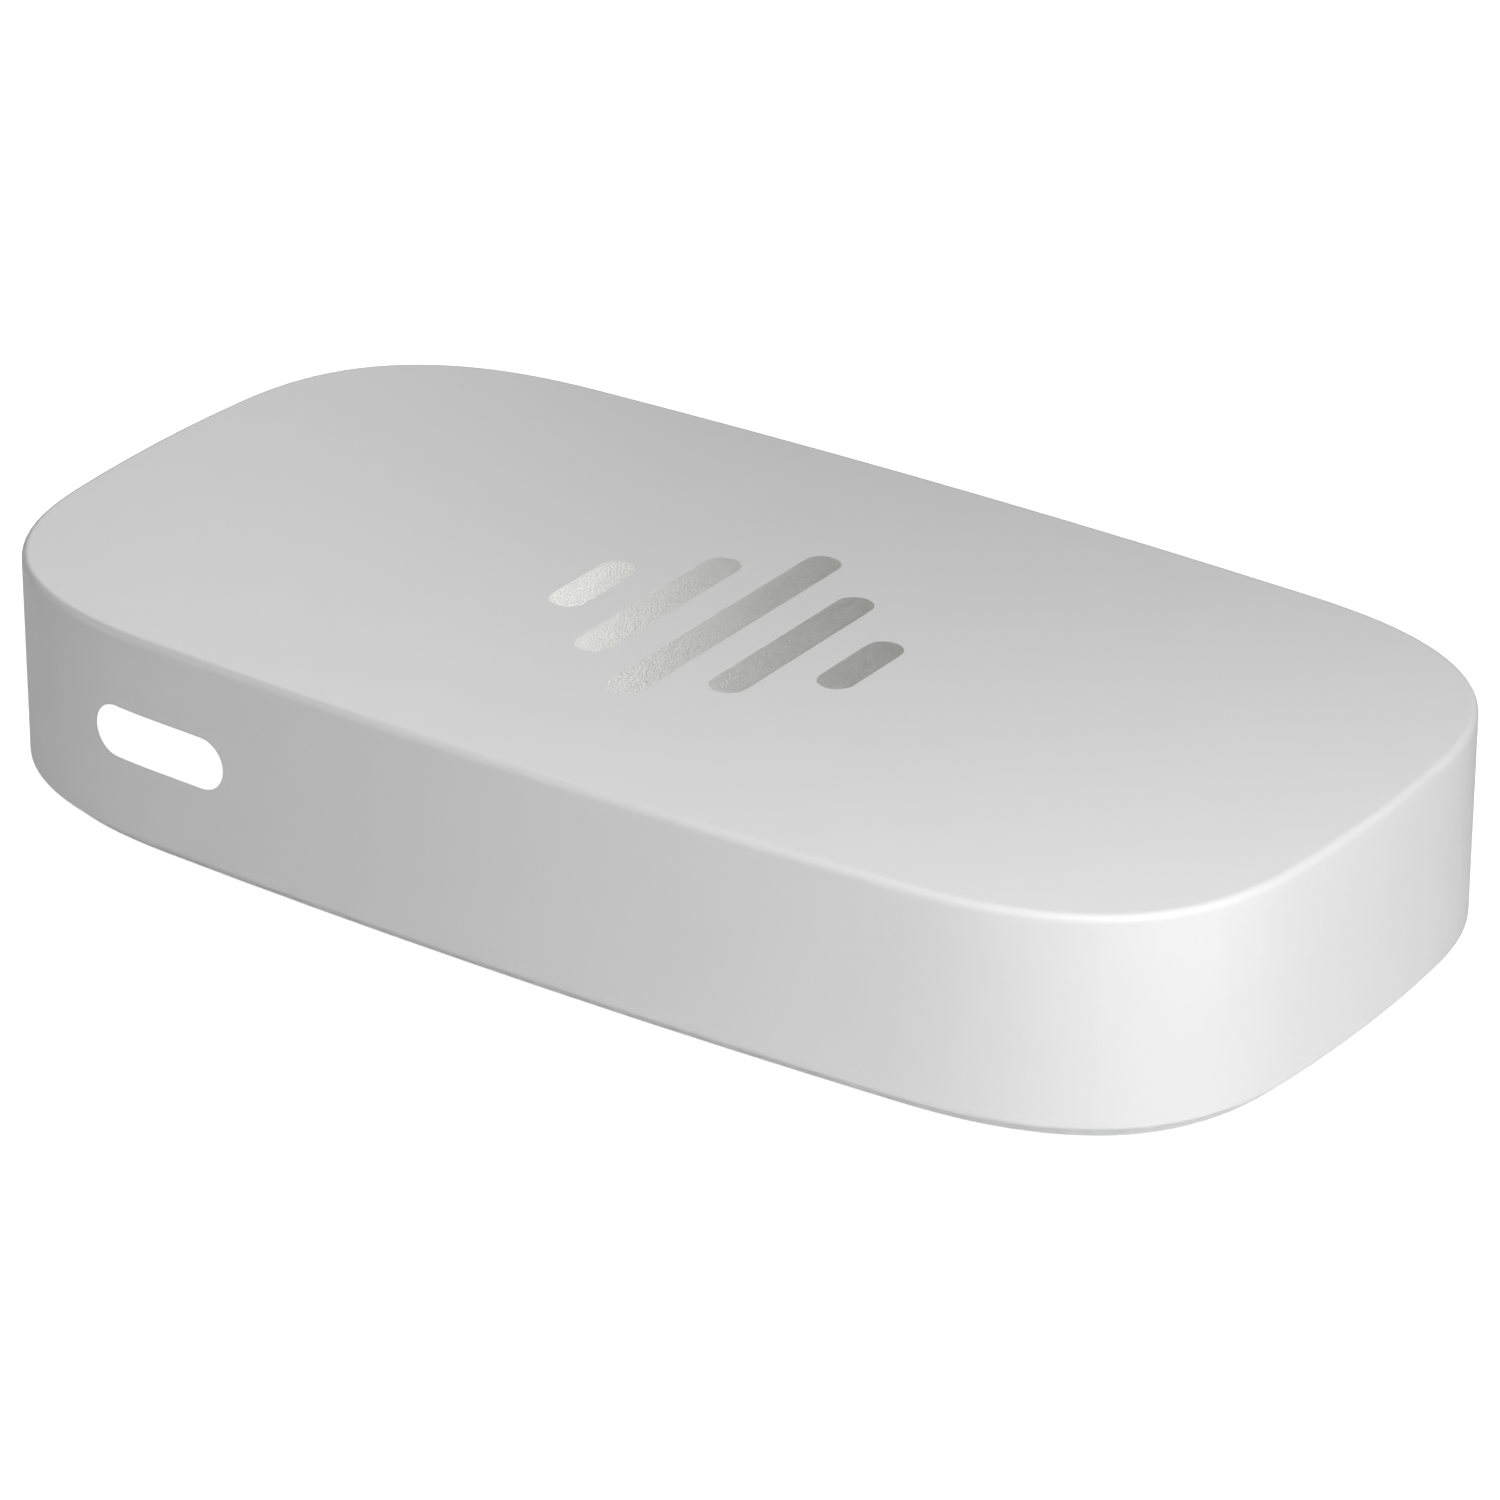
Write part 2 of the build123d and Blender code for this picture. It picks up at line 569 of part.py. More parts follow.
with BuildPart() as electrolytic_capacitors:
    with Locations(*[(x, y, DECK_Z) for x, y in BIG_CAPACITORS]):
        Box(*CAPACITOR_BASE, align=LOW)
        Cylinder(*CAPACITOR_CAN, align=LOW)
        with Locations((0, 0, CAPACITOR_GROOVE[2])):
            Torus(CAPACITOR_GROOVE[0], CAPACITOR_GROOVE[1], mode=Mode.SUBTRACT)
    fillet(electrolytic_capacitors.edges().group_by(Axis.Z)[-1], 0.3)
save(electrolytic_capacitors, "electrolytic_capacitors")

with BuildPart() as ceramic_capacitors:
    for x, y, columns, rows in SMALL_CAPACITOR_ROWS:
        with Locations((x, y, DECK_Z)):
            with GridLocations(2.6, 2.0, columns, rows):
                Box(*CERAMIC, align=LOW)
                with Locations((-END_X, 0, 0), (END_X, 0, 0)):
                    Box(*CERAMIC_END, align=LOW)
save(ceramic_capacitors, "ceramic_capacitors")

with BuildPart() as chip_resistors:
    for x, y, columns, rows in RESISTOR_ROWS:
        with Locations((x, y, DECK_Z)):
            with GridLocations(2.6, 1.8, columns, rows):
                Box(*RESISTOR, align=LOW)
                with Locations((-END_X, 0, 0), (END_X, 0, 0)):
                    Box(*RESISTOR_END, align=LOW)
save(chip_resistors, "chip_resistors")

# ---------------------------------------------------------------- USB-C socket
USB_MOUTH_Y = back_wall_y(USB_X) - 0.4
USB_HEIGHT = 3.26
USB_DEPTH = 7.35
USB_SHEET = 0.3
USB_BLOCK = 2.3       # depth of the insulator block at the back of the shell
TONGUE = (6.69, 0.7)
TONGUE_LENGTH = 4.45
CONTACT_PITCH = 0.5
CONTACTS = 12
CONTACT = (0.26, 0.06)
CONTACT_SHORT = 0.6   # how far the contacts stop behind the tongue's tip
BLOCK_GAP = 0.02      # round the insulator block in the shell

with BuildPart() as usb_c_shell:
    with BuildSketch(across(USB_MOUTH_Y)):
        with Locations((USB_X, USB_Z)):
            SlotOverall(USB_WIDTH, USB_HEIGHT)
            SlotOverall(USB_WIDTH - 2 * USB_SHEET, USB_HEIGHT - 2 * USB_SHEET, mode=Mode.SUBTRACT)
    extrude(amount=USB_DEPTH)
    with Locations(*[(x, y, USB_Z) for x, y in USB_LEGS]):
        Box(*LEG, USB_Z - BOARD_LEGS_Z, align=(Align.CENTER, Align.CENTER, Align.MAX))
save(usb_c_shell, "usb_c_shell")

with BuildPart() as usb_c_insulator:
    with BuildSketch(across(USB_MOUTH_Y - USB_DEPTH + USB_BLOCK)):
        with Locations((USB_X, USB_Z)):
            slot_gap = 2 * (USB_SHEET + BLOCK_GAP)
            SlotOverall(USB_WIDTH - slot_gap, USB_HEIGHT - slot_gap)
    extrude(amount=USB_BLOCK)
    with BuildSketch(across(USB_MOUTH_Y - USB_DEPTH + USB_BLOCK)):
        with Locations((USB_X, USB_Z)):
            RectangleRounded(*TONGUE, 0.2)
    extrude(amount=-TONGUE_LENGTH)
save(usb_c_insulator, "usb_c_insulator")

with BuildPart() as usb_c_contacts:
    with BuildSketch(across(USB_MOUTH_Y - USB_DEPTH + USB_BLOCK)):
        with Locations((USB_X, USB_Z)):
            with GridLocations(CONTACT_PITCH, TONGUE[1] + CONTACT[1], CONTACTS, 2):
                Rectangle(*CONTACT)
    extrude(amount=CONTACT_SHORT - TONGUE_LENGTH)
save(usb_c_contacts, "usb_c_contacts")

# ---------------------------------------------------------------- 3.5 mm audio socket
JACK_FACE_Y = back_wall_y(JACK_X) - 0.05
JACK_BODY_Y = 26.6
JACK_END_Y = 13.4
JACK_BORE = 1.8       # radius
JACK_BORE_DEPTH = 14.4
JACK_WIDTH = 7.6
JACK_HEIGHT = 6.0
SPRING = (0.8, 0.3)   # width and thickness of a contact spring
SPRING_LENGTH = 5.0
SPRING_GAP = 0.1      # round a spring in its slot
NOSE_EDGE = 0.25      # chamfer
# Each spring: which side of the bore it is on (degrees round from +X) and its middle's depth
SPRINGS = [(0.0, 5.2), (180.0, 8.4), (90.0, 11.2)]

with BuildPart() as audio_jack_body:
    with BuildSketch(across(JACK_BODY_Y)):
        with Locations((JACK_X, JACK_Z)):
            RectangleRounded(JACK_WIDTH, JACK_HEIGHT, 0.3)
    extrude(amount=JACK_BODY_Y - JACK_END_Y)
    with BuildSketch(across(JACK_BODY_Y)):
        with Locations((JACK_X, JACK_Z)):
            Circle(JACK_NOSE)
    extrude(amount=JACK_BODY_Y - JACK_FACE_Y)
    chamfer(audio_jack_body.edges().group_by(Axis.Y)[-1], NOSE_EDGE)
    for angle, depth in SPRINGS:
        with BuildSketch(across(JACK_FACE_Y - depth + SPRING_LENGTH / 2)):
            with Locations((JACK_X, JACK_Z)):
                with Locations(Rotation(0, 0, angle)):
                    with Locations((JACK_BORE / 2, 0)):
                        slot_width = SPRING[0] + 2 * SPRING_GAP
                        Rectangle(JACK_WIDTH, slot_width, align=(Align.MIN, Align.CENTER))
        extrude(amount=SPRING_LENGTH, mode=Mode.SUBTRACT)
    with BuildSketch(across(JACK_FACE_Y)):
        with Locations((JACK_X, JACK_Z)):
            Circle(JACK_BORE)
    extrude(amount=JACK_BORE_DEPTH, mode=Mode.SUBTRACT)
save(audio_jack_body, "audio_jack_body")

with BuildPart() as audio_jack_contacts:
    for angle, depth in SPRINGS:
        with BuildSketch(across(JACK_FACE_Y - depth + SPRING_LENGTH / 2 - SPRING_GAP)):
            with Locations((JACK_X, JACK_Z)):
                with Locations(Rotation(0, 0, angle)):
                    with Locations((JACK_BORE + SPRING_GAP, 0)):
                        Rectangle(SPRING[1], SPRING[0], align=(Align.MIN, Align.CENTER))
        extrude(amount=SPRING_LENGTH - 2 * SPRING_GAP)
save(audio_jack_contacts, "audio_jack_contacts")

# ---------------------------------------------------------------- optical socket
OPTICAL_FACE_Y = back_wall_y(OPTICAL_X) - 0.3
OPTICAL_DEPTH = 13.5
MOUTH = 6.0
MOUTH_LIP = 0.7
MOUTH_CHAMFER = 0.9
CAVITY_WIDTH = 6.5
CAVITY_LOW_Z = DECK_Z + 1.2
CAVITY_TOP_Z = CAVITY_LOW_Z + 7.5
CAVITY_DEPTH = 9.6
MOUTH_Z = CAVITY_LOW_Z + 0.2 + MOUTH / 2
HINGE_Y = OPTICAL_FACE_Y - 1.6
HINGE_Z = CAVITY_TOP_Z - 0.95
HINGE_PIN = 0.45      # radius
HINGE_PIN_REACH = 0.7
PIN_GAP = 0.05        # round the pin in its bearing holes
STOP = (0.6, 0.8, 0.55)
SHUTTER_WIDTH = 6.2
SHUTTER = 0.6         # thickness
COIL_RADIUS = 0.72
COIL_WIRE = 0.11      # radius
COIL_TURNS = 3.25
COIL_PITCH = 0.3
COIL_X = OPTICAL_X + 1.5
COIL_NOTCH = (1.5, 2.6)  # width, and height about the pin, of the shutter's notch
SPRING_ENDS = (0.7, 3.0)  # straight lengths at the two ends of the wire
EMITTER_POCKET = 5.2
EMITTER_POCKET_DEPTH = 3.2
LENS = 1.2            # radius
LENS_GAP = 0.05
EMITTER_GAP = 0.2     # behind and in front of the emitter in its pocket
LENS_REACH = 0.6      # how far the lens stands into the ferrule guide
POST = 2.0            # radius of the ferrule guide
POST_LENGTH = 1.2

with BuildPart() as optical_socket_body:
    with BuildSketch(across(OPTICAL_FACE_Y)):
        with Locations((OPTICAL_X, OPTICAL_Z)):
            RectangleRounded(OPTICAL_WIDTH, OPTICAL_HEIGHT, OPTICAL_CORNER)
    extrude(amount=OPTICAL_DEPTH)
    # Mouth, with its two upper corners cut off so that a plug only goes in one way up
    with BuildSketch(across(OPTICAL_FACE_Y)) as mouth:
        with Locations((OPTICAL_X, MOUTH_Z)):
            Rectangle(MOUTH, MOUTH)
        chamfer(mouth.vertices().group_by(Axis.Y)[-1], MOUTH_CHAMFER)
    extrude(amount=MOUTH_LIP, mode=Mode.SUBTRACT)
    with BuildSketch(across(OPTICAL_FACE_Y - MOUTH_LIP)):
        with Locations((OPTICAL_X, CAVITY_LOW_Z)):
            Rectangle(CAVITY_WIDTH, CAVITY_TOP_Z - CAVITY_LOW_Z, align=(Align.CENTER, Align.MIN))
    extrude(amount=CAVITY_DEPTH - MOUTH_LIP, mode=Mode.SUBTRACT)
    # Stops for the closed shutter, in the cavity's lower corners
    with BuildSketch(across(OPTICAL_FACE_Y - MOUTH_LIP)):
        for side in (-1, 1):
            stop_x = OPTICAL_X + side * (CAVITY_WIDTH - STOP[0]) / 2
            with Locations((stop_x, CAVITY_LOW_Z + STOP[1] / 2)):
                Rectangle(STOP[0], STOP[1])
    extrude(amount=STOP[2])
    # Ferrule guide, and the emitter's pocket behind it
    with BuildSketch(across(OPTICAL_FACE_Y - CAVITY_DEPTH + POST_LENGTH)):
        with Locations((OPTICAL_X, MOUTH_Z)):
            Circle(POST)
    extrude(amount=POST_LENGTH)
    with BuildSketch(across(OPTICAL_FACE_Y - OPTICAL_DEPTH)):
        with Locations((OPTICAL_X, MOUTH_Z)):
            Rectangle(EMITTER_POCKET, EMITTER_POCKET)
    extrude(amount=-EMITTER_POCKET_DEPTH, mode=Mode.SUBTRACT)
    with BuildSketch(across(OPTICAL_FACE_Y - OPTICAL_DEPTH)):
        with Locations((OPTICAL_X, MOUTH_Z)):
            Circle(LENS + LENS_GAP)
    extrude(amount=-(OPTICAL_DEPTH - CAVITY_DEPTH + POST_LENGTH), mode=Mode.SUBTRACT)
    # Bearing holes for the shutter's pin
    with BuildSketch(Plane.YZ.offset(OPTICAL_X)):
        with Locations((HINGE_Y, HINGE_Z)):
            Circle(HINGE_PIN + PIN_GAP)
    extrude(amount=SHUTTER_WIDTH / 2 + HINGE_PIN_REACH + FIT, both=True, mode=Mode.SUBTRACT)
save(optical_socket_body, "optical_socket_body")

with BuildPart() as optical_emitter:
    with BuildSketch(across(OPTICAL_FACE_Y - OPTICAL_DEPTH + EMITTER_GAP)):
        with Locations((OPTICAL_X, MOUTH_Z)):
            RectangleRounded(EMITTER_POCKET - 2 * FIT, EMITTER_POCKET - 2 * FIT, 0.4)
    extrude(amount=-(EMITTER_POCKET_DEPTH - 2 * EMITTER_GAP))
    with BuildSketch(across(OPTICAL_FACE_Y - OPTICAL_DEPTH + EMITTER_GAP)):
        with Locations((OPTICAL_X, MOUTH_Z)):
            Circle(LENS)
    extrude(amount=-(EMITTER_POCKET_DEPTH + LENS_REACH))
    fillet(optical_emitter.edges().group_by(Axis.Y)[-1], LENS / 2)
save(optical_emitter, "optical_emitter")

with BuildPart() as optical_shutter:
    panel_low_z = CAVITY_LOW_Z + 0.1
    with BuildSketch(across(HINGE_Y + SHUTTER / 2)):
        with Locations((OPTICAL_X, panel_low_z)):
            Rectangle(SHUTTER_WIDTH, HINGE_Z - panel_low_z, align=(Align.CENTER, Align.MIN))
        # Notch for the spring's coil
        with Locations((COIL_X + COIL_TURNS * COIL_PITCH / 2, HINGE_Z)):
            Rectangle(*COIL_NOTCH, mode=Mode.SUBTRACT)
    extrude(amount=SHUTTER)
    with BuildSketch(Plane.YZ.offset(OPTICAL_X)):
        with Locations((HINGE_Y, HINGE_Z)):
            Circle(HINGE_PIN)
    extrude(amount=SHUTTER_WIDTH / 2 + HINGE_PIN_REACH, both=True)
save(optical_shutter, "optical_shutter")

with BuildPart() as shutter_spring:
    with BuildLine() as wire_path:
        coil = Helix(
            COIL_PITCH,
            COIL_PITCH * COIL_TURNS,
            COIL_RADIUS,
            center=(COIL_X, HINGE_Y, HINGE_Z),
            direction=(1, 0, 0),
        )
        Line(coil @ 0 - (coil % 0) * SPRING_ENDS[0], coil @ 0)
        Line(coil @ 1, coil @ 1 + (coil % 1) * SPRING_ENDS[1])
    with BuildSketch(Plane(origin=wire_path.line @ 0, z_dir=wire_path.line % 0)):
        Circle(COIL_WIRE)
    sweep(path=wire_path.line, is_frenet=True)
save(shutter_spring, "shutter_spring")

# ---------------------------------------------------------------- pairing button and its switch
BUTTON_PROUD = 0.34   # how far the button stands out of the wall
BUTTON_FACE_Y = back_wall_y(BUTTON_X) + BUTTON_PROUD
BUTTON_FLANGE_Y = back_wall_y(BUTTON_X) - WALL - 0.25
BUTTON_EDGE = 0.25    # radius
BUTTON_FLANGE_DEPTH = 0.9
BUTTON_STEM = 1.0     # radius
BUTTON_DISH = 9.0     # radius of the shallow hollow for a fingertip
BUTTON_DISH_DEPTH = 0.2
COVER = 0.25          # thickness of the switch's sheet-metal cover
CHAMBER = 2.4         # radius of the chamber that holds the plunger's flange
CHAMBER_DEPTH = 1.6
PLUNGER = 1.7         # radius
PLUNGER_FLANGE = 2.25
PLUNGER_FLANGE_DEPTH = 0.5
PLUNGER_PIP = 0.6     # radius of the pip that bears on the dome
PLUNGER_TIP_Y = SWITCH_BACK_Y + COVER + 0.4
PRESS = 0.3           # travel of the button and the plunger
DOME = 2.1            # radius of the switch's snap dome, which is drawn pressed nearly flat
DOME_RISE = 0.15
DOME_SHEET = 0.1
CONTACT_GAP = 0.02    # between pieces that push on each other
LEG_STRAP = 3.0       # height of the cover's straps down the sides of the switch

with BuildPart() as pair_button:
    with BuildSketch(across(BUTTON_FACE_Y)):
        with Locations((BUTTON_X, BUTTON_Z)):
            Circle(BUTTON)
    extrude(amount=BUTTON_FACE_Y - BUTTON_FLANGE_Y)
    fillet(pair_button.edges().group_by(Axis.Y)[-1], BUTTON_EDGE)
    with Locations((BUTTON_X, BUTTON_FACE_Y + BUTTON_DISH - BUTTON_DISH_DEPTH, BUTTON_Z)):
        Sphere(BUTTON_DISH, mode=Mode.SUBTRACT)
    with BuildSketch(across(BUTTON_FLANGE_Y)):
        with Locations((BUTTON_X, BUTTON_Z)):
            Circle(BUTTON_FLANGE)
    extrude(amount=BUTTON_FLANGE_DEPTH)
    with BuildSketch(across(BUTTON_FLANGE_Y)):
        with Locations((BUTTON_X, BUTTON_Z)):
            Circle(BUTTON_STEM)
    extrude(amount=BUTTON_FLANGE_Y - PLUNGER_TIP_Y - CONTACT_GAP)
save(pair_button, "pair_button")

with BuildPart() as switch_body:
    with BuildSketch(across(SWITCH_BACK_Y)):
        with Locations((BUTTON_X, BUTTON_Z)):
            RectangleRounded(SWITCH, SWITCH, 0.4)
    extrude(amount=SWITCH_DEPTH)
    with BuildSketch(across(SWITCH_BACK_Y)):
        with Locations((BUTTON_X, BUTTON_Z)):
            Circle(CHAMBER)
    extrude(amount=CHAMBER_DEPTH, mode=Mode.SUBTRACT)
save(switch_body, "switch_body")

with BuildPart() as switch_dome:
    dome_centre = (BUTTON_X, SWITCH_BACK_Y - CHAMBER_DEPTH, BUTTON_Z)
    with BuildSketch(Plane(origin=dome_centre, x_dir=(1, 0, 0), z_dir=(0, 0, 1))):
        with BuildLine():
            Line((0, DOME_RISE), (0, DOME_RISE + DOME_SHEET))
            TangentArc((0, DOME_RISE + DOME_SHEET), (DOME, DOME_SHEET), tangent=(1, 0))
            Line((DOME, DOME_SHEET), (DOME, 0))
            TangentArc((0, DOME_RISE), (DOME, 0), tangent=(1, 0))
        make_face()
    revolve(axis=Axis(dome_centre, (0, 1, 0)))
save(switch_dome, "switch_dome")

with BuildPart() as switch_plunger:
    with BuildSketch(across(PLUNGER_TIP_Y)):
        with Locations((BUTTON_X, BUTTON_Z)):
            Circle(PLUNGER)
    extrude(amount=PLUNGER_TIP_Y - SWITCH_BACK_Y + PLUNGER_FLANGE_DEPTH + FIT)
    with BuildSketch(across(SWITCH_BACK_Y - FIT)):
        with Locations((BUTTON_X, BUTTON_Z)):
            Circle(PLUNGER_FLANGE)
    extrude(amount=PLUNGER_FLANGE_DEPTH)
    pip_y = SWITCH_BACK_Y - FIT - PLUNGER_FLANGE_DEPTH
    dome_y = SWITCH_BACK_Y - CHAMBER_DEPTH + DOME_RISE + DOME_SHEET
    with BuildSketch(across(pip_y)):
        with Locations((BUTTON_X, BUTTON_Z)):
            Circle(PLUNGER_PIP)
    extrude(amount=pip_y - dome_y - PRESS - CONTACT_GAP)
save(switch_plunger, "switch_plunger")

with BuildPart() as switch_cover:
    with BuildSketch(across(SWITCH_BACK_Y + COVER)):
        with Locations((BUTTON_X, BUTTON_Z)):
            Rectangle(SWITCH + 2 * LEG[0], SWITCH)
            Circle(PLUNGER + BUTTON_GAP, mode=Mode.SUBTRACT)
    extrude(amount=COVER)
    for x, y in SWITCH_LEGS:
        with Locations((x, SWITCH_BACK_Y, BUTTON_Z)):
            strap = (LEG[0], SWITCH_BACK_Y - y + LEG[1] / 2, LEG_STRAP)
            Box(*strap, align=(Align.CENTER, Align.MAX, Align.CENTER))
        with Locations((x, y, BUTTON_Z)):
            Box(*LEG, BUTTON_Z - BOARD_LEGS_Z, align=(Align.CENTER, Align.CENTER, Align.MAX))
save(switch_cover, "switch_cover")
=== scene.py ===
import json
import math

import bpy
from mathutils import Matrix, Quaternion, Vector

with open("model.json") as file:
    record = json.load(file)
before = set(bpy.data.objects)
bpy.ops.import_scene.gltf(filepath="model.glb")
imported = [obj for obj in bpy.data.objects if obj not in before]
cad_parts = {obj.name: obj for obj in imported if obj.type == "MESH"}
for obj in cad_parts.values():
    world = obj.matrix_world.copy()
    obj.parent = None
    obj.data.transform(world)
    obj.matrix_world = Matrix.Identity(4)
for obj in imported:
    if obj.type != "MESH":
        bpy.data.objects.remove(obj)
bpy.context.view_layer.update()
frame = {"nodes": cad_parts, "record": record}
NODES = frame["nodes"]

MM = 0.001
PLAIN = (1.0, 1.0, 1.0)

# ---------------------------------------------------------------- camera
# Angles in degrees, distance and aim in metres, lens and sensor in millimetres. The angles,
# distance, aim and lens come from a least-squares fit to the real object's outline.
AZIMUTH = 34.888
ELEVATION = 26.672
ROLL = 0.103
DISTANCE = 0.56197
AIM = (-0.006966, 0.012001, 0.0004)
LENS = 176.65
SENSOR = 36.0
NEAREST = 0.01
FARTHEST = 20.0


def direction(azimuth, elevation):
    """From the object towards an azimuth (0 is the front, 90 the right) and an elevation."""
    a, e = math.radians(azimuth), math.radians(elevation)
    return Vector((math.sin(a) * math.cos(e), -math.cos(a) * math.cos(e), math.sin(e)))


def facing(back):
    """Turns a camera or a light that stands off along back to look at the object."""
    return (-back).to_track_quat("-Z", "Y")


def add_camera():
    """A long lens that looks down at the front and the right-hand end."""
    back = direction(AZIMUTH, ELEVATION)
    data = bpy.data.cameras.new("camera")
    data.lens = LENS
    data.sensor_width = SENSOR
    data.clip_start = NEAREST
    data.clip_end = FARTHEST
    camera = bpy.data.objects.new("camera", data)
    camera.location = Vector(AIM) + back * DISTANCE
    camera.rotation_mode = "QUATERNION"
    camera.rotation_quaternion = facing(back) @ Quaternion((0, 0, 1), math.radians(ROLL))
    bpy.context.collection.objects.link(camera)
    bpy.context.scene.camera = camera


# ---------------------------------------------------------------- light and floor
# Each light: name, azimuth and elevation (degrees), distance, side (metres), power (watts).
# All powers but the rear light's come from a least-squares fit of the object's tones, which
# also chose the first five lights from a set of places tried.
LIGHTS = [
    ("key_low", 50.0, 35.0, 0.22, 0.11, 0.1749),
    ("key_high", 50.0, 60.0, 0.22, 0.11, 0.1290),
    ("key_right", 80.0, 35.0, 0.22, 0.11, 0.1339),
    ("left_fill", 300.0, 8.0, 0.32, 0.16, 0.1700),
    ("rear_left", 240.0, 32.0, 0.32, 0.16, 0.2256),
    ("rear", 180.0, 8.0, 0.80, 0.40, 0.6),
    ("glint", 222.6, 23.9, 0.327, 0.05, 0.0270),
]
LIGHT_AIM = (0, 0, 0.01)

FLOOR_HALF = 3.0
FLOOR_GREY = 0.9
FLOOR_ROUGHNESS = 0.8
FLOOR_GLOW = 0.9
BOUNCE_HEIGHT = -0.00005


def add_light(name, azimuth, elevation, distance, side, power):
    """A soft square light, turned to face the middle of the object."""
    back = direction(azimuth, elevation)
    data = bpy.data.lights.new(name, "AREA")
    data.shape = "SQUARE"
    data.size = side
    data.energy = power
    light = bpy.data.objects.new(name, data)
    light.location = Vector(LIGHT_AIM) + back * distance
    light.rotation_mode = "QUATERNION"
    light.rotation_quaternion = facing(back)
    bpy.context.collection.objects.link(light)


def add_world():
    """A dark studio: all the light comes from its lamps and the floor."""
    world = bpy.data.worlds.new("studio")
    world.use_nodes = True
    world.node_tree.nodes["Background"].inputs["Strength"].default_value = 0.0
    bpy.context.scene.world = world


def add_floor_plane(name, height, glow):
    half = FLOOR_HALF
    corners = [
        (-half, -half, height),
        (half, -half, height),
        (half, half, height),
        (-half, half, height),
    ]
    mesh = bpy.data.meshes.new(name)
    mesh.from_pydata(corners, [], [(0, 1, 2, 3)])
    floor = bpy.data.objects.new(name, mesh)
    bpy.context.collection.objects.link(floor)
    material, _, shader = new_material(name)
    shader.inputs["Base Color"].default_value = (FLOOR_GREY, FLOOR_GREY, FLOOR_GREY, 1.0)
    shader.inputs["Roughness"].default_value = FLOOR_ROUGHNESS
    shader.inputs["Specular IOR Level"].default_value = 0.0
    shader.inputs["Emission Color"].default_value = (*PLAIN, 1.0)
    shader.inputs["Emission Strength"].default_value = glow
    mesh.materials.append(material)
    return floor


def add_floor():
    """A white floor whose glow only the camera sees, on one that throws plain light back."""
    seen = add_floor_plane("floor_seen", 0.0, FLOOR_GLOW)
    seen.visible_diffuse = False
    seen.visible_glossy = False
    seen.visible_transmission = False
    seen.visible_shadow = False
    bounce = add_floor_plane("floor_bounce", BOUNCE_HEIGHT, 0.0)
    bounce.visible_camera = False


# ---------------------------------------------------------------- material nodes
# The part of a noise's range that most of it lies in
NOISE_LOW = 0.35
NOISE_HIGH = 0.65


def new_material(name):
    material = bpy.data.materials.new(name)
    material.use_nodes = True
    tree = material.node_tree
    return material, tree, tree.nodes["Principled BSDF"]


def noise(tree, grain_mm, detail=2.0, stretch=PLAIN):
    """Noise whose cells are grain_mm across on the object, and longer along some axes."""
    where = tree.nodes.new("ShaderNodeTexCoord")
    scaled = tree.nodes.new("ShaderNodeMapping")
    scaled.inputs["Scale"].default_value = [1 / s for s in stretch]
    texture = tree.nodes.new("ShaderNodeTexNoise")
    texture.inputs["Scale"].default_value = 1 / (grain_mm * MM)
    texture.inputs["Detail"].default_value = detail
    tree.links.new(where.outputs["Object"], scaled.inputs["Vector"])
    tree.links.new(scaled.outputs["Vector"], texture.inputs["Vector"])
    return texture.outputs["Fac"]


def spread(tree, value, low, high):
    """Maps a noise's middle range onto low to high."""
    scale = tree.nodes.new("ShaderNodeMapRange")
    scale.inputs["From Min"].default_value = NOISE_LOW
    scale.inputs["From Max"].default_value = NOISE_HIGH
    scale.inputs["To Min"].default_value = low
    scale.inputs["To Max"].default_value = high
    tree.links.new(value, scale.inputs["Value"])
    return scale.outputs["Result"]


def tone(tree, shader, value, colour, change):
    """Base colour that varies a little either side of a colour."""
    mix = tree.nodes.new("ShaderNodeMix")
    mix.data_type = "RGBA"
    mix.inputs["A"].default_value = (*[c * (1 - change) for c in colour], 1.0)
    mix.inputs["B"].default_value = (*[min(1.0, c * (1 + change)) for c in colour], 1.0)
    tree.links.new(value, mix.inputs["Factor"])
    tree.links.new(mix.outputs["Result"], shader.inputs["Base Color"])


def gloss(tree, shader, value, roughness, swing):
    """Roughness that varies a little either side of its middle."""
    varied = spread(tree, value, roughness - swing, roughness + swing)
    tree.links.new(varied, shader.inputs["Roughness"])


def bump(tree, shader, value, depth_mm):
    node = tree.nodes.new("ShaderNodeBump")
    node.inputs["Strength"].default_value = 1.0
    node.inputs["Distance"].default_value = depth_mm * MM
    tree.links.new(value, node.inputs["Height"])
    tree.links.new(node.outputs["Normal"], shader.inputs["Normal"])


# ---------------------------------------------------------------- materials
MOULDED_DETAIL = 3.0
MOULDED_SWING = 0.04

METAL_DETAIL = 4.0
METAL_SWING = 0.06

# The emblem's foil: how metallic, its flakes, the grain and depth (mm) of its satin finish,
# and the patches (mm) in which its gloss varies
FOIL_METAL = 0.66
FOIL_FLAKE = 0.12
FOIL_CHANGE = 0.05
FOIL_GRAIN = 0.16
FOIL_DETAIL = 1.0
FOIL_DEPTH = 0.012
FOIL_PATCH = 0.5
FOIL_SWING = 0.03

LIT_ROUGHNESS = 0.33
LIT_GRAIN = 0.3
CLEAR_GRAIN = 0.4
CLEAR_TRANSMISSION = 0.85
ACRYLIC_IOR = 1.49
POLISHED_DEPTH = 0.001

# The board's glass cloth: thread pitch (mm), and the period of a wave texture of scale 1
THREAD = 0.5
WAVE_PERIOD = 0.314
THREAD_WANDER = 0.6
WEAVE_CHANGE = 0.12
WEAVE_DEPTH = 0.003
MASK_PATCH = 2.0
MASK_SWING = 0.05


